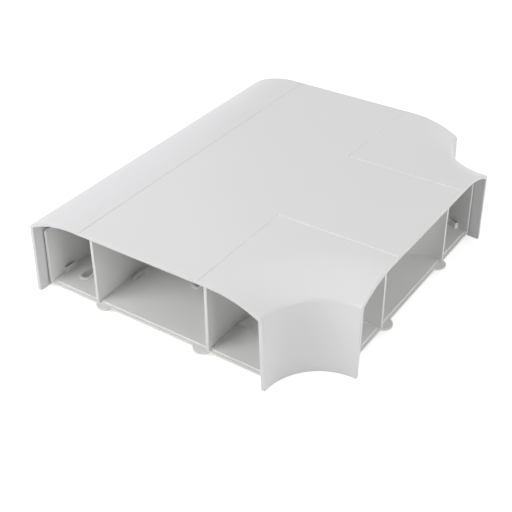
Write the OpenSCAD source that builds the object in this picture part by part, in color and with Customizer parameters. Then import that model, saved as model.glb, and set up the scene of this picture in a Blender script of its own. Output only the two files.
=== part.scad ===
// Flat tee fitting for three-compartment wall trunking.
// +X points out of the branch port, +Y along the run, +Z away from the wall.
// The origin is where the two centre lines cross, on the wall side.
// Port 1 opens towards -Y, port 2 (the branch) towards +X and port 3 towards +Y.

/* [Tee plan] */
// Distance from the crossing of the centre lines to each port's end
reach = 125; // [121:1:145]
// Straight stretch of cover between an inside corner and the port's end
port_stub = 1.5; // [1:0.5:4]

/* [Cover section] */
// Width over the cover at its foot
cover_w = 175; // [160:1:180]
// Height over the cover
cover_h = 59.5; // [54:0.5:66]
// Thickness of the cover's walls and top
cover_t = 2.5; // [2:0.1:3]
// Lean of the side walls towards the middle, in degrees
draft = 2; // [0:0.5:3]
// Distance from the centre line to where the top starts to fall
flat_half = 50.5; // [48:0.5:54]
// Radius of the shoulder, measured on the outside
shoulder_r = 72; // [68:1:80]
// Radius between shoulder and side wall, measured on the outside
edge_r = 3.5; // [3.2:0.1:5]

/* [Grooves] */
// Distance of each groove from the centre line
groove_x = 43.5; // [40:0.5:47]
// Width of a groove at the surface
groove_w = 0.9; // [0.6:0.1:1.4]
// Depth of a groove
groove_d = 0.6; // [0.3:0.1:1]

/* [Base] */
// Height of the base's underside above the wall
base_lift = 2.5; // [1.5:0.5:4]
// Thickness of the floor
floor_t = 2.2; // [1.8:0.1:3]
// Thickness of the base's side walls
base_t = 2.2; // [1.6:0.1:3]
// Gap between the base's side walls and the cover
base_gap = 1; // [0.6:0.1:1.5]
// Height of the base's side walls above the mounting plane
base_h = 43; // [30:1:44]
// Distance from the cover's end back to the base's end, at each port
port_recess = 7.5; // [4:0.5:12]
// Length of the thinner lip at each port
lip_len = 2; // [1.5:0.5:6]
// Depth of the step down to the lip
lip_step = 0.8; // [0.4:0.1:1.2]
// Strip of full-height floor left between the step and a side wall
lip_side = 1; // [0.6:0.2:3]
// Radius of the round tongues
tongue_r = 6; // [4:0.5:8]
// How far a tongue stands out past the base's end
tongue_out = 4.4; // [2:0.2:5]

/* [Dividers] */
// Distance of the dividers from the centre line, at each port
divider_x = 42.5; // [38:0.5:46]
// Thickness of the dividers
divider_t = 2.2; // [1.6:0.1:3]
// Gap between the dividers' top edges and the cover
divider_gap = 0.5; // [0.3:0.1:1]
// Straight stretch of the corner dividers at a port
bend_leg = 29.5; // [20:0.5:34]
// Straight stretch of the outer bend divider at port 1
entry_leg = 39.5; // [34:0.5:50]
// Radius of its first turn
entry_r = 22; // [14:1:30]
// Angle of its first turn
entry_turn = 40; // [38:1:44]
// Straight stretch of the outer bend divider at port 2
exit_leg = 8.5; // [7:0.5:14]
// Width of the cable pass in the outer bend divider
pass_w = 46; // [20:1:60]
// Height of that pass above the floor
pass_h = 30; // [15:1:40]
// Radius of the pass's upper corners
pass_r = 6; // [2:0.5:7]

/* [Fixings] */
// Width of the fixing slots
slot_w = 5.5; // [4.2:0.1:6.5]
// Length of the fixing slots, end to end
slot_len = 16; // [10:0.5:24]
// Distance of the back slots from the centre line
slot_x = 67; // [60:0.5:70]
// Distance of the back slots from the branch's centre line, along the run
slot_y = 96; // [70:1:104]
// Distance of the middle slots from the branch's centre line, along the run
middle_slot_y = 64; // [54:1:90]
// Width of the raised rim round a slot
rim_w = 1.8; // [1:0.1:3]
// Height of that rim above the floor
rim_h = 0.8; // [0.4:0.1:1.5]

/* [Catches and lugs] */
// Distance of the back wall's catch pockets from the base's end
catch_inset = 16; // [12:0.5:24]
// Place of the corner walls' catch pockets, in degrees round the corner from the port
catch_angle = 25; // [20:1:35]
// Length of a catch pocket
catch_len = 8.5; // [6:0.5:12]
// Depth of a catch pocket from the wall
catch_d = 2.4; // [2:0.1:4]
// Height of a catch pocket above the floor
catch_h = 4; // [3:0.5:8]
// Wall thickness of a catch pocket
catch_wall = 1; // [0.8:0.1:1.2]
// Height of the lugs and bars beside the dividers
lug_h = 2.2; // [1.6:0.2:5]
// Thickness of the lugs, bars and foot ridges
lug_t = 1.4; // [1:0.1:2]
// Length of the lugs
lug_len = 10; // [6:0.5:14]
// Length of the bars
bar_len = 8; // [5:0.5:12]
// Height of the foot ridges
ridge_h = 1; // [0.6:0.1:2]

/* [Guide ribs] */
// Gap between the cover's guide ribs and the base
rib_gap = 0.3; // [0.2:0.1:0.5]
// Width of a guide rib
rib_w = 2; // [1:0.5:4]
// Distance between the guide ribs on the long back wall
rib_pitch = 46; // [30:1:60]

/* [Hidden] */

$fn = 96;
// Small overlap that makes cuts clean and joins whole
eps = 0.01;
overlap = 1;

cover_half = cover_w / 2;
// Centre of an inside corner's curve, the same distance from both centre lines
corner_c = reach - port_stub;
base_reach = reach - port_recess;
// Larger than the part, for cutting tools
far = 2 * reach;

// Half width inside the cover and over the base, at the foot
room_half = cover_half - cover_t;
base_half = room_half - base_gap;
inner_half = base_half - base_t;

floor_z = base_lift + floor_t;
lip_z = floor_z - lip_step;
top_z = cover_h - cover_t;
divider_z = top_z - divider_gap;
slot_run = slot_len - slot_w;
// Guide ribs on the back wall, on each side of the middle one
rib_rows = floor((base_reach - rib_w) / rib_pitch);
// Flats along each bend of a divider
bend_steps = 16;

// How far a side wall leans in at a height
function lean(z) = z * tan(draft);

// Angle at which a shoulder arc of radius arc, ending in an edge radius, meets that edge
function edge_angle(half, flat, centre_z, arc, edge) =
    draft + acos(((half - flat) * cos(draft) - centre_z * sin(draft) - edge) / (arc - edge));

// Filled half section: x from the centre line to half, z from 0 to high
module half_section(half, high, arc, edge) {
    centre_z = high - arc;
    angle = edge_angle(half, flat_half, centre_z, arc, edge);
    outward = [cos(angle), sin(angle)];
    edge_c = [flat_half, centre_z] + (arc - edge) * outward;
    wall_end = edge_c + edge * [cos(draft), sin(draft)];
    square([flat_half, high]);
    polygon([[0, 0], [half, 0], wall_end, edge_c, [flat_half, edge_c[1]], [0, edge_c[1]]]);
    // A hair larger than its radius, so that it crosses its neighbours instead of just touching
    translate(edge_c) circle(r = edge + eps);
    intersection() {
        translate([flat_half, centre_z]) circle(r = arc, $fn = 360);
        polygon([[flat_half, edge_c[1]], edge_c, edge_c + far * outward, [flat_half, far]]);
    }
}

// The cover's own section, from just inside the shoulder to the side wall
module cover_section() {
    difference() {
        half_section(cover_half, cover_h, shoulder_r, edge_r);
        half_section(room_half, top_z, shoulder_r - cover_t, edge_r - cover_t);
        translate([-overlap, -overlap]) square([flat_half, far]);
    }
}

// Section of the base's side wall, from its underside up to high
module base_wall_section(high) {
    polygon([
        [base_half - lean(base_lift) - base_t, base_lift],
        [base_half - lean(base_lift), base_lift],
        [base_half - lean(high), high],
        [base_half - lean(high) - base_t, high]
    ]);
}

// Carries a section along the back wall, round both inside corners and out to the ports
module tee_sweep() {
    translate([0, reach, 0]) rotate([90, 0, 0]) linear_extrude(2 * reach) mirror([1, 0]) children();
    for (side = [-1, 1]) {
        translate([corner_c, side * corner_c, 0])
            rotate([0, 0, side < 0 ? 90 : 180])
            rotate_extrude(angle = 90)
            translate([corner_c, 0]) mirror([1, 0]) children();
        // From the corner out to the run's port
        translate([0, side < 0 ? -corner_c : reach, 0])
            rotate([90, 0, 0])
            linear_extrude(port_stub) children();
        // From the corner out to the branch port
        translate([corner_c, 0, 0])
            rotate([90, 0, 90])
            linear_extrude(port_stub)
            facing(side) children();
    }
}

// Turns a section to face the other way on the negative side
module facing(side) {
    if (side < 0) mirror([1, 0]) children();
    else children();
}

// Outline of the tee in plan, with legs of the given half width, ended at the given reach
module tee_plan(half, out) {
    difference() {
        translate([-half, -out]) square([half + out, 2 * out]);
        for (side = [-1, 1]) {
            translate([corner_c, side * corner_c]) circle(r = corner_c - half, $fn = 180);
            translate([half, side < 0 ? -far : corner_c]) square([far, far - corner_c]);
            translate([corner_c, side < 0 ? -far : half]) square([far, far - half]);
        }
    }
}

// One straight V groove in the top, from its start towards +Y
module groove(length) {
    translate([0, length, 0]) rotate([90, 0, 0]) linear_extrude(length)
        polygon([[-groove_w, groove_d], [0, -groove_d], [groove_w, groove_d]]);
}

module grooves() {
    // Each leg starts half a groove past the mitre
    start = groove_w / 2 - groove_x;
    leg = reach + start + overlap;
    translate([0, 0, cover_h]) {
        translate([-groove_x, -reach - overlap, 0]) groove(2 * (reach + overlap));
        for (side = [-1, 1]) {
            translate([groove_x, side < 0 ? start - leg : -start, 0]) groove(leg);
            translate([-start, side * groove_x, 0]) rotate([0, 0, -90]) groove(leg);
        }
    }
}

// Upright rib on the cover's side wall that keeps the base centred
module guide_rib() {
    rib_low = base_lift + overlap;
    rib_high = base_h - overlap;
    translate([0, rib_w / 2, 0]) rotate([90, 0, 0]) linear_extrude(rib_w) polygon([
        [base_half + rib_gap - lean(rib_low), rib_low],
        [room_half + overlap - lean(rib_low), rib_low],
        [room_half + overlap - lean(rib_high), rib_high],
        [base_half + rib_gap - lean(rib_high), rib_high]
    ]);
}

module cover() {
    color("whitesmoke") difference() {
        union() {
            tee_sweep() cover_section();
            translate([0, 0, top_z]) linear_extrude(cover_t) tee_plan(flat_half, reach);
            for (i = [-rib_rows:rib_rows])
                translate([0, i * rib_pitch, 0]) mirror([1, 0, 0]) guide_rib();
            for (side = [-1, 1], turn = [catch_angle, 90 - catch_angle])
                round_corner(side, turn) translate([corner_c, 0, 0]) mirror([1, 0, 0]) guide_rib();
        }
        grooves();
    }
}

// Slot outline, along Y
module slot_outline(half) {
    for (end = [-1, 1]) translate([0, end * slot_run / 2]) circle(r = half);
    translate([-half, -slot_run / 2]) square([2 * half, slot_run]);
}

// Centres of all fixing slots
slot_places = [
    [-slot_x, -slot_y],
    [-slot_x, slot_y],
    [0, -middle_slot_y],
    [0, middle_slot_y]
];

module slot_rims() {
    for (place = slot_places) translate([place[0], place[1], 0])
        linear_extrude(floor_z + rim_h) slot_outline(slot_w / 2 + rim_w);
}

module slot_cuts() {
    for (place = slot_places) translate([place[0], place[1], -overlap])
        linear_extrude(floor_z + rim_h + 2 * overlap) slot_outline(slot_w / 2);
}

// Turns what points along +X from a corner's centre to point into the tee
module round_corner(side, turn) {
    translate([corner_c, side * corner_c, 0]) rotate([0, 0, 180 + side * turn]) children();
}

// Open-topped pocket on the inside of a side wall that faces +X
module catch_pocket() {
    difference() {
        translate([-overlap, -catch_len / 2, 0]) cube([catch_d + overlap, catch_len, catch_h]);
        translate([0, catch_wall - catch_len / 2, catch_wall])
            cube([catch_d - catch_wall, catch_len - 2 * catch_wall, catch_h]);
    }
}

module catch_pockets() {
    for (side = [-1, 1]) {
        translate([lean(floor_z) - inner_half, side * (base_reach - catch_inset), floor_z - eps])
            catch_pocket();
        for (turn = [catch_angle, 90 - catch_angle]) round_corner(side, turn)
            translate([corner_c - inner_half + lean(floor_z), 0, floor_z - eps]) catch_pocket();
    }
}

// Steps down to the lip, across one port
module lip_cut() {
    half = inner_half - lip_side;
    translate([-half, -base_reach - overlap, lip_z])
        cube([2 * half, lip_len + overlap, lip_step + overlap]);
}

// A port's two tongues, against its dividers
module port_tongues() {
    tongue_x = divider_x + divider_t / 2 - tongue_r;
    for (side = [-1, 1])
        translate([side * tongue_x, tongue_r - tongue_out - base_reach, base_lift])
            cylinder(r = tongue_r, h = floor_t - lip_step);
}

// Ridges at the outer feet of a port's dividers, with a bar across the end of each
module port_ridges() {
    ridge_x = divider_x + divider_t / 2;
    for (side = [-1, 1]) {
        low = side < 0 ? -ridge_x - lug_t : ridge_x;
        translate([low, lip_len - base_reach, floor_z - eps])
            cube([lug_t, bend_leg - lip_len, ridge_h]);
        bar_low = side < 0 ? -ridge_x - bar_len - lug_t : ridge_x + lug_t / 2;
        translate([bar_low, bend_leg - lug_t - base_reach, floor_z - eps])
            cube([bar_len + lug_t / 2, lug_t, lug_h]);
    }
}

// Turns what is drawn for port 1 to face each port
module at_ports() {
    for (turn = [0, 90, 180]) rotate([0, 0, turn]) children();
}

// Lugs on the middle side of the two outer dividers
module divider_lugs() {
    lug_x = divider_x - divider_t / 2 - 3 * lug_t;
    for (side = [-1, 1]) {
        start_y = side < 0 ? entry_leg - lug_len - base_reach : base_reach - entry_leg;
        translate([-lug_x - lug_t, start_y, floor_z - eps]) cube([lug_t, lug_len, lug_h]);
    }
}

// Ribs under the floor that reach the wall
module under_ribs() {
    run = 2 * (base_reach - 2 * port_recess);
    for (x = [-slot_x, 0]) translate([x - lug_t / 2, -run / 2, 0]) cube([lug_t, run, floor_z]);
    for (side = [-1, 1]) translate([-slot_x, side * groove_x - lug_t / 2, 0])
        cube([slot_x + run / 2, lug_t, floor_z]);
}

module base_tray() {
    color("gainsboro") difference() {
        union() {
            intersection() {
                union() {
                    tee_sweep() base_wall_section(base_h);
                    translate([0, 0, base_lift]) linear_extrude(floor_t)
                        tee_plan(base_half - base_t / 2, reach);
                }
                translate([-far, -base_reach, 0]) cube([far + base_reach, 2 * base_reach, far]);
            }
            at_ports() port_tongues();
            at_ports() port_ridges();
            divider_lugs();
            catch_pockets();
            slot_rims();
            under_ribs();
        }
        slot_cuts();
        at_ports() lip_cut();
    }
}

// Points along an arc, in equal steps. An arc that carries on from another starts at its step 1.
function arc_points(centre, radius, from, to, first = 0) = [
    for (i = [first:bend_steps]) let (a = from + (to - from) * i / bend_steps)
        centre + radius * [cos(a), sin(a)]
];

function unit(v) = v / norm(v);

// Point i of a path, moved sideways by d, with a mitre where the path turns
function beside(path, i, d) =
    let (last = len(path) - 1,
         before = unit(path[max(i, 1)] - path[max(i, 1) - 1]),
         after = unit(path[min(i, last - 1) + 1] - path[min(i, last - 1)]),
         along = unit(before + after))
    path[i] + d / (along * before) * [-along[1], along[0]];

// Upright divider along a path
module divider_wall(path) {
    last = len(path) - 1;
    translate([0, 0, floor_z]) linear_extrude(divider_z - floor_z) polygon(concat(
        [for (i = [0:last]) beside(path, i, divider_t / 2)],
        [for (i = [last:-1:0]) beside(path, i, -divider_t / 2)]
    ));
}

// Foot that fills the step at a port, for a divider that runs along Y at x
module lip_foot(x) {
    translate([x - divider_t / 2, -base_reach, lip_z])
        cube([divider_t, lip_len, lip_step + overlap]);
}

// Corner divider round the inside corner on the given side, up to its end in the branch
module corner_divider(side, branch_end) {
    bend_c = base_reach - bend_leg;
    divider_wall(concat(
        [[divider_x, side * base_reach]],
        arc_points([bend_c, side * bend_c], bend_c - divider_x, 180, 180 + side * 90),
        [[branch_end, side * divider_x]]
    ));
}

// Outer bend: first turn, then one long arc to the branch port
entry_c = [entry_r - divider_x, entry_leg - base_reach];
entry_end = entry_c + entry_r * [-cos(entry_turn), sin(entry_turn)];
exit_start = [base_reach - exit_leg, divider_x];
chord = exit_start - entry_end;
chord_angle = atan2(chord[1], chord[0]);
start_angle = 90 - entry_turn;
half_sweep = start_angle - chord_angle;
sweep_r = norm(chord) / (2 * sin(half_sweep));
sweep_c = entry_end + sweep_r * [sin(start_angle), -cos(start_angle)];
end_angle = chord_angle - half_sweep;

module outer_bend_divider() {
    color("white") difference() {
        union() {
            divider_wall(concat(
                [[-divider_x, -base_reach]],
                arc_points(entry_c, entry_r, 180, 180 - entry_turn),
                arc_points(sweep_c, sweep_r, 90 + start_angle, 90 + end_angle, 1),
                [[base_reach, divider_x]]
            ));
            lip_foot(-divider_x);
            rotate([0, 0, 90]) lip_foot(divider_x);
        }
        cable_pass();
    }
}

// Arched opening low in the middle of the long arc
module cable_pass() {
    middle = entry_end + chord / 2;
    translate([middle[0], middle[1], floor_z]) rotate([0, 0, chord_angle])
        rotate([90, 0, 0]) translate([0, 0, -entry_r]) linear_extrude(2 * entry_r) {
            translate([-pass_w / 2, -overlap]) square([pass_w, pass_h - pass_r + overlap]);
            translate([pass_r - pass_w / 2, 0]) square([pass_w - 2 * pass_r, pass_h]);
            for (end = [-1, 1]) translate([end * (pass_w / 2 - pass_r), pass_h - pass_r])
                circle(r = pass_r);
        }
}

module inner_bend_divider() {
    color("white") {
        corner_divider(-1, base_reach);
        lip_foot(divider_x);
        rotate([0, 0, 90]) lip_foot(-divider_x);
    }
}

module far_bend_divider() {
    // It stops just short of the outer bend divider, which closes on it
    meet = (divider_t / 2 * (1 + 1 / cos(end_angle)) + rib_gap) / tan(end_angle);
    color("white") {
        corner_divider(1, exit_start[0] - meet);
        rotate([0, 0, 180]) lip_foot(-divider_x);
    }
}

module back_divider() {
    // It starts where the outer bend divider has turned out of its way
    clear = acos((entry_r - divider_t / 2 - rib_gap) / (entry_r + divider_t / 2));
    start_y = entry_c[1] + (entry_r + divider_t / 2) * sin(clear);
    color("white") {
        divider_wall([[-divider_x, start_y], [-divider_x, base_reach]]);
        rotate([0, 0, 180]) lip_foot(divider_x);
    }
}

cover();
base_tray();
back_divider();
outer_bend_divider();
inner_bend_divider();
far_bend_divider();
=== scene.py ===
import math

import bmesh
import bpy
from mathutils import Matrix, Vector


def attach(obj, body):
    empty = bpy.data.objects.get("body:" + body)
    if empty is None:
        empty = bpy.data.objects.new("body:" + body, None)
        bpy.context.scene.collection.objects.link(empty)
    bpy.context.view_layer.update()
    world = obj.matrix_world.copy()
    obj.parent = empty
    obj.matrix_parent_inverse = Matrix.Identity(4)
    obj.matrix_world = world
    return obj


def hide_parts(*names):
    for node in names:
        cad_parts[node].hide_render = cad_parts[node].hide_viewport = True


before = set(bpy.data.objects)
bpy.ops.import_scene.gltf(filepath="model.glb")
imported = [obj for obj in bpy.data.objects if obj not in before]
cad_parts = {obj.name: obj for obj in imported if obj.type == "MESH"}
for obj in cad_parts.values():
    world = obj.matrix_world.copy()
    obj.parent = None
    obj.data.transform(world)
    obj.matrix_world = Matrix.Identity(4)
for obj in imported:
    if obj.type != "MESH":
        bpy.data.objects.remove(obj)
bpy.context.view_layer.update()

scene = bpy.context.scene
MM = 0.001
WHITE = (1.0, 1.0, 1.0, 1.0)

# Plastic colours, as linear red, green and blue. The tray and the dividers are one plastic, but the
# tray's grey is set lighter and the dividers' grey darker: painted light on the floors and painted
# shade on the divider walls
COVER_GREY = (0.780, 0.780, 0.782)
TRAY_GREY_LIT = (0.850, 0.850, 0.835)
DIVIDER_GREY_SHADED = (0.820, 0.820, 0.808)
# Darkest and lightest clouds in the plastic, as shares of its colour
TINT_LOW, TINT_HIGH = 0.985, 1.015
ROUGHNESS_SPREAD = 0.04
PLASTIC_IOR = 1.46
# Scale and detail of the noise that makes clouds in the colour, flow in the shine and fine pits
CLOUDS = (14.0, 2.0)
FLOW = (55.0, 3.0)
PITS = (2600.0, 2.0)
PIT_DEPTH = 0.02 * MM

# Radius and steps of the moulded edges, which are rounded where faces turn more than the angle
EDGE_ROUND = 0.25 * MM
ROUND_SEGMENTS = 2
SHARP_ANGLE = math.radians(35)
# How far large faces decide the shading at their edges, out of 100
LARGE_FACE_WEIGHT = 100
# Points closer than this are one point, and faces turned less than this are one face
SAME_POINT = 0.002 * MM
FLAT_ANGLE = math.radians(0.2)


def add_object(name, data):
    """A new object in the scene."""
    made = bpy.data.objects.new(name, data)
    scene.collection.objects.link(made)
    return made


def node_tree_of(owner):
    """The emptied node tree of a material or a world."""
    owner.use_nodes = True
    tree = owner.node_tree
    tree.nodes.clear()
    return tree


def map_range(tree, value, to_low, to_high, from_low=0.0, from_high=1.0):
    """Takes a value from one range to another."""
    made = tree.nodes.new("ShaderNodeMapRange")
    made.inputs["From Min"].default_value = from_low
    made.inputs["From Max"].default_value = from_high
    made.inputs["To Min"].default_value = to_low
    made.inputs["To Max"].default_value = to_high
    tree.links.new(value, made.inputs["Value"])
    return made.outputs["Result"]


def moulded_plastic(name, grey, roughness, grain):
    """Satin rigid plastic: a faint cloudiness in the colour, a fine grain in the surface."""
    material = bpy.data.materials.new(name)
    tree = node_tree_of(material)
    nodes, links = tree.nodes, tree.links
    place = nodes.new("ShaderNodeTexCoord")

    def noise(scale, detail):
        made = nodes.new("ShaderNodeTexNoise")
        made.inputs["Scale"].default_value = scale
        made.inputs["Detail"].default_value = detail
        links.new(place.outputs["Object"], made.inputs["Vector"])
        return made

    shader = nodes.new("ShaderNodeBsdfPrincipled")
    shader.inputs["IOR"].default_value = PLASTIC_IOR
    clouds = noise(*CLOUDS)
    tint = nodes.new("ShaderNodeMix")
    tint.data_type = "RGBA"
    tint.inputs["A"].default_value = (*[c * TINT_LOW for c in grey], 1.0)
    tint.inputs["B"].default_value = (*[min(1.0, c * TINT_HIGH) for c in grey], 1.0)
    links.new(clouds.outputs["Fac"], tint.inputs["Factor"])
    links.new(tint.outputs["Result"], shader.inputs["Base Color"])

    shine = map_range(tree, noise(*FLOW).outputs["Fac"],
                      roughness - ROUGHNESS_SPREAD, roughness + ROUGHNESS_SPREAD)
    links.new(shine, shader.inputs["Roughness"])

    pits = noise(*PITS)
    bump = nodes.new("ShaderNodeBump")
    bump.inputs["Strength"].default_value = grain
    bump.inputs["Distance"].default_value = PIT_DEPTH
    links.new(pits.outputs["Fac"], bump.inputs["Height"])
    links.new(bump.outputs["Normal"], shader.inputs["Normal"])

    out = nodes.new("ShaderNodeOutputMaterial")
    links.new(shader.outputs["BSDF"], out.inputs["Surface"])
    return material


cover_plastic = moulded_plastic("cover_plastic", COVER_GREY, 0.34, 0.20)
tray_plastic = moulded_plastic("tray_plastic", TRAY_GREY_LIT, 0.42, 0.35)
# The dividers' darker grey is painted shade for their walls, and the tray's lighter grey is painted
# light for its floors
divider_plastic = moulded_plastic("divider_plastic", DIVIDER_GREY_SHADED, 0.42, 0.35)


# Sizes of the cover, as the part's source has them
DRAFT = math.radians(2)
COVER_HALF = 87.5 * MM
COVER_HIGH = 59.5 * MM
COVER_WALL = 2.5 * MM
FLAT_HALF = 50.5 * MM
SHOULDER_ARC = 72 * MM
SHOULDER_EDGE = 3.5 * MM
REACH = 125 * MM
PORT_STUB = 1.5 * MM
CORNER = REACH - PORT_STUB
GROOVE_AT = 43.5 * MM
GROOVE_HALF = 0.45 * MM
GROOVE_DEEP = 0.6 * MM
SHOULDER_STEPS = 18
EDGE_STEPS = 6
CORNER_STEPS = 48


def arc(centre, radius, start, end, steps):
    """Points along an arc, both ends included."""
    turns = [start + (end - start) * i / steps for i in range(steps + 1)]
    return [(centre[0] + radius * math.cos(t), centre[1] + radius * math.sin(t)) for t in turns]


def shoulder_line(half, high, big, small):
    """From the flat top's edge over the shoulder and down the wall: (distance out, height)."""
    low = high - big
    reach = (half - FLAT_HALF) * math.cos(DRAFT) - low * math.sin(DRAFT) - small
    angle = DRAFT + math.acos(reach / (big - small))
    edge = (FLAT_HALF + (big - small) * math.cos(angle), low + (big - small) * math.sin(angle))
    over = arc((FLAT_HALF, low), big, math.pi / 2, angle, SHOULDER_STEPS)
    return over + arc(edge, small, angle, DRAFT, EDGE_STEPS)[1:] + [(half, 0.0)]


def line_object(name, points):
    """A straight-pieced line through points, as a curve."""
    curve = bpy.data.curves.new(name, "CURVE")
    curve.dimensions = "3D"
    spline = curve.splines.new("POLY")
    spline.points.add(len(points) - 1)
    for knot, point in zip(spline.points, points):
        knot.co = (point[0], point[1], 0.0, 1.0)
    return add_object(name, curve)


def new_tree(name, sockets):
    """An empty Geometry Nodes tree with a geometry way in and out and the named inputs."""
    tree = bpy.data.node_groups.new(name, "GeometryNodeTree")
    face = tree.interface
    face.new_socket("Geometry", in_out="INPUT", socket_type="NodeSocketGeometry")
    for label, kind in sockets:
        face.new_socket(label, in_out="INPUT", socket_type=kind)
    face.new_socket("Geometry", in_out="OUTPUT", socket_type="NodeSocketGeometry")
    return tree


def set_inputs(piece, tree, values):
    """Puts a tree on an object as its modifier and sets the tree's inputs by their identifiers."""
    modifier = piece.modifiers.new(tree.name, "NODES")
    modifier.node_group = tree
    for item in tree.interface.items_tree:
        if item.in_out == "INPUT" and item.name in values:
            modifier[item.identifier] = values[item.name]


def as_plain_mesh(piece):
    """The mesh that an object's modifiers make."""
    bpy.context.view_layer.update()
    graph = bpy.context.evaluated_depsgraph_get()
    return bpy.data.meshes.new_from_object(piece.evaluated_get(graph))


def sweep_tree():
    """Lays a section along the object's own line, to the right of it."""
    tree = new_tree("moulding_sweep", [
        ("Section", "NodeSocketObject"), ("Finish", "NodeSocketMaterial")])
    nodes, links = tree.nodes, tree.links
    given = nodes.new("NodeGroupInput")
    level = nodes.new("GeometryNodeSetCurveNormal")
    level.mode = "Z_UP"
    section = nodes.new("GeometryNodeObjectInfo")
    sweep = nodes.new("GeometryNodeCurveToMesh")
    real = nodes.new("GeometryNodeRealizeInstances")
    finish = nodes.new("GeometryNodeSetMaterial")
    out = nodes.new("NodeGroupOutput")
    links.new(given.outputs["Geometry"], level.inputs["Curve"])
    links.new(given.outputs["Section"], section.inputs["Object"])
    links.new(level.outputs["Curve"], sweep.inputs["Curve"])
    links.new(section.outputs["Geometry"], sweep.inputs["Profile Curve"])
    links.new(sweep.outputs["Mesh"], real.inputs["Geometry"])
    links.new(real.outputs["Geometry"], finish.inputs["Geometry"])
    links.new(given.outputs["Finish"], finish.inputs["Material"])
    links.new(finish.outputs["Geometry"], out.inputs["Geometry"])
    return tree


def round_and_place(name, mesh, body):
    """An object of a mesh with its sharp edges rounded, riding on a body."""
    piece = add_object(name, mesh)
    mesh.polygons.foreach_set("use_smooth", [True] * len(mesh.polygons))
    bevel = piece.modifiers.new("edges", "BEVEL")
    bevel.width = EDGE_ROUND
    bevel.segments = ROUND_SEGMENTS
    bevel.limit_method = "ANGLE"
    bevel.angle_limit = SHARP_ANGLE
    bevel.use_clamp_overlap = False
    shading = piece.modifiers.new("shading", "WEIGHTED_NORMAL")
    shading.mode = "FACE_AREA"
    shading.weight = LARGE_FACE_WEIGHT
    final = as_plain_mesh(piece)
    piece.modifiers.clear()
    piece.data = final
    final.name = name
    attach(piece, body)
    return piece


def stand_for(node, name, body, material, merge_flats=True):
    """A copy of a CAD node with rounded edges, which stands for it."""
    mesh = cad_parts[node].data.copy()
    bm = bmesh.new()
    bm.from_mesh(mesh)
    bmesh.ops.remove_doubles(bm, verts=bm.verts, dist=SAME_POINT)
    if merge_flats:
        bmesh.ops.dissolve_limit(bm, angle_limit=FLAT_ANGLE, verts=bm.verts, edges=bm.edges)
    bm.to_mesh(mesh)
    bm.free()
    mesh.materials.clear()
    mesh.materials.append(material)
    piece = round_and_place(name, mesh, body)
    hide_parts(node)


# The cover: one section swept along the back and round both inside corners, then the flat top
outer_line = shoulder_line(COVER_HALF, COVER_HIGH, SHOULDER_ARC, SHOULDER_EDGE)
inner_line = shoulder_line(COVER_HALF - COVER_WALL, COVER_HIGH - COVER_WALL,
                           SHOULDER_ARC - COVER_WALL, SHOULDER_EDGE - COVER_WALL)
section = line_object("cover_section", [(d, -z) for d, z in outer_line + inner_line[::-1]])
near_turn = arc((CORNER, -CORNER), CORNER, math.pi, math.pi / 2, CORNER_STEPS)
near_path = [(0.0, -REACH)] + near_turn + [(REACH, 0.0)]
far_path = [(x, -y) for x, y in near_path[::-1]]
back_path = [(0.0, REACH), (0.0, -REACH)]
sweeping = sweep_tree()

shell = bmesh.new()
swept = []
for place in (back_path, near_path, far_path):
    guide = line_object("cover_path", place)
    set_inputs(guide, sweeping, {"Section": section, "Finish": cover_plastic})
    swept.append(as_plain_mesh(guide))
    shell.from_mesh(swept[-1])
    bpy.data.objects.remove(guide)
bpy.data.objects.remove(section)


def add_face(points):
    """A flat face through points, on vertices of its own until the shell is welded."""
    shell.faces.new([shell.verts.new(p) for p in points])


def corner_edge(first):
    """The points round the near corner, from port 1 to port 2, of one point of the section."""
    points = len(outer_line) + len(inner_line)
    return [tuple(swept[1].vertices[row * points + first].co) for row in range(len(near_path))]


def mirrored(points):
    """The same points on the far side of the branch's centre line."""
    return [(x, -y, z) for x, y, z in points]


G_IN, G_OUT = GROOVE_AT - GROOVE_HALF, GROOVE_AT + GROOVE_HALF
G_LOW = COVER_HIGH - GROOVE_DEEP
top = COVER_HIGH
under = COVER_HIGH - COVER_WALL
# Flat top, in four faces with the grooves between them
add_face([(-FLAT_HALF, -REACH, top), (-G_OUT, -REACH, top),
          (-G_OUT, REACH, top), (-FLAT_HALF, REACH, top)])
add_face([(-G_IN, -REACH, top), (G_IN, -REACH, top), (G_IN, -G_IN, top), (REACH, -G_IN, top),
          (REACH, G_IN, top), (G_IN, G_IN, top), (G_IN, REACH, top), (-G_IN, REACH, top)])
near_top = corner_edge(0) + [(REACH, -G_OUT, top), (G_OUT, -G_OUT, top), (G_OUT, -REACH, top)]
add_face(near_top)
add_face(mirrored(near_top))
# Each groove has two slanting sides, which meet below the top
for out_x, in_x in ((-G_OUT, -GROOVE_AT), (-G_IN, -GROOVE_AT)):
    add_face([(out_x, -REACH, top), (in_x, -REACH, G_LOW),
              (in_x, REACH, G_LOW), (out_x, REACH, top)])
for side in (G_IN, G_OUT):
    leg = [(side, -REACH, top), (side, -side, top),
           (GROOVE_AT, -GROOVE_AT, G_LOW), (GROOVE_AT, -REACH, G_LOW)]
    branch = [(-y, -x, z) for x, y, z in leg]
    for sides in (leg, branch, mirrored(leg), mirrored(branch)):
        add_face(sides)
# Ceiling inside
near_under = corner_edge(len(outer_line) + len(inner_line) - 1)
add_face([(-FLAT_HALF, -REACH, under)] + near_under + mirrored(near_under)[::-1]
         + [(-FLAT_HALF, REACH, under)])


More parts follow.
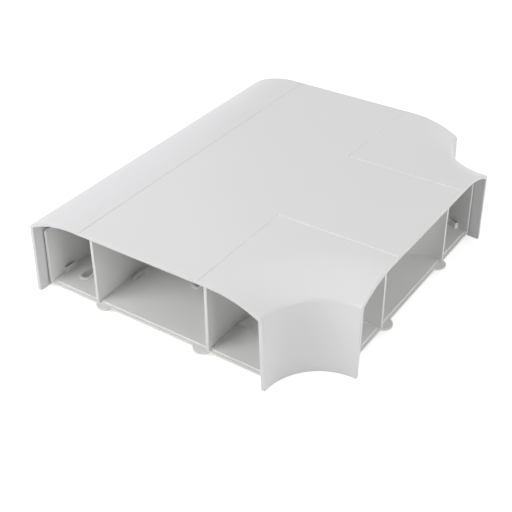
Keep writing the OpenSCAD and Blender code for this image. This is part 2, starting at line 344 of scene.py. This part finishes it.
def port_face(place):
    """Closes the shell's end at a port. place turns (across, height) into a point."""
    for side in (-1, 1):
        for i in range(len(outer_line) - 1):
            rows = [outer_line[i], outer_line[i + 1], inner_line[i + 1], inner_line[i]]
            add_face([place(side * d, z) for d, z in rows])
    marks = [(-FLAT_HALF, top)]
    for side in (-1, 1):
        for across, z in ((GROOVE_HALF, 0), (0.0, GROOVE_DEEP), (-GROOVE_HALF, 0)):
            marks.append((side * GROOVE_AT - across, top - z))
    marks.append((FLAT_HALF, top))
    add_face([place(d, z) for d, z in marks + [(FLAT_HALF, under), (-FLAT_HALF, under)]])


port_face(lambda d, z: (d, -REACH, z))
port_face(lambda d, z: (d, REACH, z))
port_face(lambda d, z: (REACH, d, z))

bmesh.ops.remove_doubles(shell, verts=shell.verts, dist=SAME_POINT)
bmesh.ops.recalc_face_normals(shell, faces=shell.faces)
# The faces with many corners become triangles, and the four-cornered ones stay
bmesh.ops.triangulate(shell, faces=[f for f in shell.faces if len(f.verts) > 4])
shell_mesh = bpy.data.meshes.new("cover_shell")
shell.to_mesh(shell_mesh)
shell.free()
shell_mesh.materials.clear()
shell_mesh.materials.append(cover_plastic)
cover_shell = round_and_place("cover_shell", shell_mesh, "cover")
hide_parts("cover")


def rib_tree():
    """Sets one leaning rib on each point of the object's mesh, turned by the point's own angle."""
    tree = new_tree("guide_ribs", [
        ("Thickness", "NodeSocketFloat"), ("Width", "NodeSocketFloat"),
        ("Height", "NodeSocketFloat"), ("Lean", "NodeSocketFloat"),
        ("Finish", "NodeSocketMaterial")])
    nodes, links = tree.nodes, tree.links
    given = nodes.new("NodeGroupInput")
    size = nodes.new("ShaderNodeCombineXYZ")
    for label, axis in (("Thickness", "X"), ("Width", "Y"), ("Height", "Z")):
        links.new(given.outputs[label], size.inputs[axis])
    block = nodes.new("GeometryNodeMeshCube")
    links.new(size.outputs["Vector"], block.inputs["Size"])
    tilt = nodes.new("ShaderNodeCombineXYZ")
    links.new(given.outputs["Lean"], tilt.inputs["Y"])
    lean = nodes.new("GeometryNodeTransform")
    links.new(block.outputs["Mesh"], lean.inputs["Geometry"])
    links.new(tilt.outputs["Vector"], lean.inputs["Rotation"])
    angle = nodes.new("GeometryNodeInputNamedAttribute")
    angle.data_type = "FLOAT"
    angle.inputs["Name"].default_value = "turn"
    about = nodes.new("ShaderNodeCombineXYZ")
    links.new(angle.outputs["Attribute"], about.inputs["Z"])
    turned = nodes.new("FunctionNodeEulerToRotation")
    links.new(about.outputs["Vector"], turned.inputs["Euler"])
    each = nodes.new("GeometryNodeInstanceOnPoints")
    links.new(given.outputs["Geometry"], each.inputs["Points"])
    links.new(lean.outputs["Geometry"], each.inputs["Instance"])
    links.new(turned.outputs["Rotation"], each.inputs["Rotation"])
    real = nodes.new("GeometryNodeRealizeInstances")
    links.new(each.outputs["Instances"], real.inputs["Geometry"])
    finish = nodes.new("GeometryNodeSetMaterial")
    links.new(real.outputs["Geometry"], finish.inputs["Geometry"])
    links.new(given.outputs["Finish"], finish.inputs["Material"])
    out = nodes.new("NodeGroupOutput")
    links.new(finish.outputs["Geometry"], out.inputs["Geometry"])
    return tree


# Guide ribs inside the cover's walls: down the back, and two round each inside corner
RIB_LOW, RIB_HIGH = 3.5 * MM, 42 * MM
RIB_WIDE = 2 * MM
RIB_PROUD = 0.7 * MM
RIB_SUNK = 0.5 * MM
RIB_PITCH = 46 * MM
# Ribs on each side of the back wall's middle one, and angles in degrees round an inside corner
RIB_ROWS = 2
RIB_TURNS = (25, 65)
rib_middle = (RIB_LOW + RIB_HIGH) / 2
rib_out = COVER_HALF - COVER_WALL - (RIB_PROUD - RIB_SUNK) / 2 - rib_middle * math.tan(DRAFT)
rib_points = [((-rib_out, row * RIB_PITCH, rib_middle), math.pi)
              for row in range(-RIB_ROWS, RIB_ROWS + 1)]
for side in (-1, 1):
    for turn in RIB_TURNS:
        inward = math.pi + side * math.radians(turn)
        at = CORNER - rib_out
        rib_points.append(((CORNER + at * math.cos(inward), side * CORNER + at * math.sin(inward),
                            rib_middle), inward + math.pi))
rib_mesh = bpy.data.meshes.new("cover_ribs")
rib_mesh.from_pydata([point for point, turn in rib_points], [], [])
rib_turns = rib_mesh.attributes.new("turn", "FLOAT", "POINT")
rib_turns.data.foreach_set("value", [turn for point, turn in rib_points])
rib_seed = add_object("cover_ribs_points", rib_mesh)
set_inputs(rib_seed, rib_tree(), {
    "Thickness": RIB_PROUD + RIB_SUNK, "Width": RIB_WIDE, "Height": RIB_HIGH - RIB_LOW,
    "Lean": -DRAFT, "Finish": cover_plastic})
ribs = round_and_place("cover_ribs", as_plain_mesh(rib_seed), "cover")
bpy.data.objects.remove(rib_seed)

stand_for("base_tray", "tray", "base", tray_plastic, merge_flats=False)
for node in ("back_divider", "outer_bend_divider", "inner_bend_divider", "far_bend_divider"):
    stand_for(node, node + "_wall", "base", divider_plastic)


# Camera fitted to the photograph, which is 512 pixels wide
PHOTO_PIXELS = 512
FOCAL_PIXELS = 968.9
SENSOR = 36.0
NEAREST_SEEN = 0.01
CAMERA_AT = Vector((0.31103, -0.46098, 0.37232))
CAMERA_RIGHT = Vector((0.829299, 0.558767, -0.006556))
CAMERA_UP = Vector((-0.313609, 0.475091, 0.822155))
CAMERA_BACK = Vector((0.462507, -0.679756, 0.569227))

lens = bpy.data.cameras.new("photo_camera")
lens.sensor_width = SENSOR
lens.lens = FOCAL_PIXELS / PHOTO_PIXELS * SENSOR
lens.clip_start = NEAREST_SEEN
camera = add_object("photo_camera", lens)
facing = Matrix((CAMERA_RIGHT, CAMERA_UP, CAMERA_BACK)).transposed().to_4x4()
camera.matrix_world = Matrix.Translation(CAMERA_AT) @ facing
scene.camera = camera


def softbox(name, at, towards, width, height, power, colour=(1.0, 1.0, 1.0)):
    """A large rectangular lamp that faces a point."""
    lamp = bpy.data.lights.new(name, "AREA")
    lamp.shape = "RECTANGLE"
    lamp.size = width
    lamp.size_y = height
    lamp.energy = power
    lamp.color = colour
    box = add_object(name, lamp)
    box.location = at
    box.rotation_euler = (Vector(towards) - Vector(at)).to_track_quat("-Z", "Y").to_euler()


# Place, the point it faces, width, height and power of each lamp, and a colour where it isn't white
PART_MIDDLE = (0.0, 0.0, 0.03)
softbox("overhead", (-0.25, 0.15, 1.3), (0.0, 0.0, 0.0), 1.4, 1.4, 5.8)
softbox("front_high_left", (-0.6, -1.05, 0.8), PART_MIDDLE, 1.0, 0.8, 13.2)
softbox("right_low", (1.25, -0.34, 0.42), PART_MIDDLE, 0.5, 0.4, 4.2)
softbox("right_high", (1.05, -0.3, 0.8), PART_MIDDLE, 0.6, 0.6, 1.4)
softbox("back", (0.6, 1.2, 0.7), PART_MIDDLE, 1.5, 1.2, 5.7)
softbox("back_right", (0.95, 0.5, 1.0), PART_MIDDLE, 0.7, 0.7, 1.2)
softbox("back_left", (-1.2, 0.7, 0.7), PART_MIDDLE, 1.0, 0.9, 2.1, (0.88, 0.88, 1.0))


def seen_directly(tree):
    """1 for what the camera sees, also in a reflection or through something clear; else 0."""
    path = tree.nodes.new("ShaderNodeLightPath")
    most = path.outputs["Is Camera Ray"]
    for label in ("Is Glossy Ray", "Is Transmission Ray"):
        either = tree.nodes.new("ShaderNodeMath")
        either.operation = "MAXIMUM"
        tree.links.new(most, either.inputs[0])
        tree.links.new(path.outputs[label], either.inputs[1])
        most = either.outputs[0]
    return most


# The world lights everything evenly, and is white where it is seen
WORLD_LEVEL = 0.03
SEEN_LEVEL = 1.0
world = bpy.data.worlds.new("studio")
scene.world = world
tree = node_tree_of(world)
glow = tree.nodes.new("ShaderNodeBackground")
glow.inputs["Color"].default_value = WHITE
strength = map_range(tree, seen_directly(tree), WORLD_LEVEL, SEEN_LEVEL)
tree.links.new(strength, glow.inputs["Strength"])
sky = tree.nodes.new("ShaderNodeOutputWorld")
tree.links.new(glow.outputs["Background"], sky.inputs["Surface"])

# Pale floor: it keeps the part's soft shadow, is lifted only where it is seen, and turns as white
# as the world away from the part
FLOOR_HALF = 3.0
FLOOR_GREY = 0.86
# The lift goes from its near to its far level between these distances from the part's origin
FADE_FROM, FADE_TO = 0.25, 0.7
LIFT_NEAR, LIFT_FAR = 0.6, 1.0
floor_mesh = bpy.data.meshes.new("floor")
floor_mesh.from_pydata(
    [(-FLOOR_HALF, -FLOOR_HALF, 0.0), (FLOOR_HALF, -FLOOR_HALF, 0.0),
     (FLOOR_HALF, FLOOR_HALF, 0.0), (-FLOOR_HALF, FLOOR_HALF, 0.0)],
    [], [(0, 1, 2, 3)])
floor = add_object("floor", floor_mesh)
paper = bpy.data.materials.new("white_paper")
tree = node_tree_of(paper)
matt = tree.nodes.new("ShaderNodeBsdfDiffuse")
matt.inputs["Color"].default_value = (FLOOR_GREY, FLOOR_GREY, FLOOR_GREY, 1.0)
place = tree.nodes.new("ShaderNodeTexCoord")
distance = tree.nodes.new("ShaderNodeVectorMath")
distance.operation = "LENGTH"
tree.links.new(place.outputs["Object"], distance.inputs[0])
fade = map_range(tree, distance.outputs["Value"], LIFT_NEAR, LIFT_FAR, FADE_FROM, FADE_TO)
shown = tree.nodes.new("ShaderNodeMath")
shown.operation = "MULTIPLY"
tree.links.new(fade, shown.inputs[0])
tree.links.new(seen_directly(tree), shown.inputs[1])
lift = tree.nodes.new("ShaderNodeEmission")
lift.inputs["Color"].default_value = WHITE
tree.links.new(shown.outputs["Value"], lift.inputs["Strength"])
both = tree.nodes.new("ShaderNodeAddShader")
tree.links.new(matt.outputs["BSDF"], both.inputs[0])
tree.links.new(lift.outputs["Emission"], both.inputs[1])
out = tree.nodes.new("ShaderNodeOutputMaterial")
tree.links.new(both.outputs["Shader"], out.inputs["Surface"])
floor_mesh.materials.append(paper)

scene.view_settings.view_transform = "Standard"
